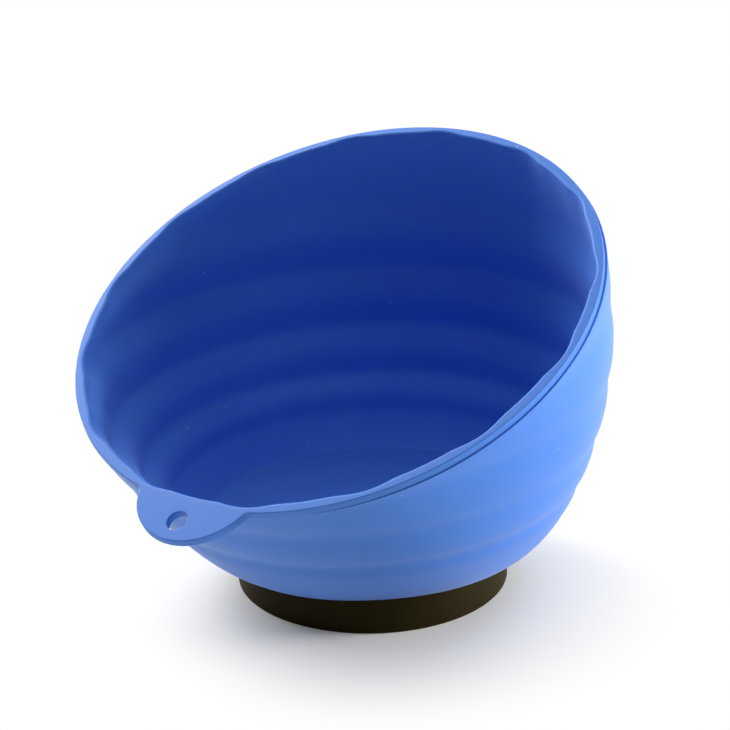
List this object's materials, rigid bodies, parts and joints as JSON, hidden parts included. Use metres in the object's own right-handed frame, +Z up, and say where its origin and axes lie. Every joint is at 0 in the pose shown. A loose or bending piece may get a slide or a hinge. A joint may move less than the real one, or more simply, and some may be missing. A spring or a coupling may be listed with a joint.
{
  "type": "magnetic parts bowl",
  "caption": "Leaning round plastic bowl with moulded rings, a scalloped lip and a hanging tab, on a magnetic rubber foot that holds small steel parts.",
  "frame": {"origin": "centre of the rubber foot's underside, on the surface that the bowl stands on", "axes": "+Z up, the mouth leans and the hanging tab points towards -Y, +X to the right seen from the tab's side"},
  "size_m": [0.1514, 0.1594, 0.1273],
  "materials": {
    "blue_plastic": "injection-moulded, satin gloss",
    "black_rubber": "matt moulded rubber",
    "ferrite": "ground ferrite",
    "plate_steel": "pressed steel sheet",
    "zinc_steel": "bright zinc plating"
  },
  "bodies": {
    "root": {"bowl": "blue_plastic", "base_boot": "black_rubber", "ring_magnet": "ferrite", "pole_plate": "plate_steel", "clamp_washer": "zinc_steel", "centre_screw": "zinc_steel"}
  },
  "joints": []
}
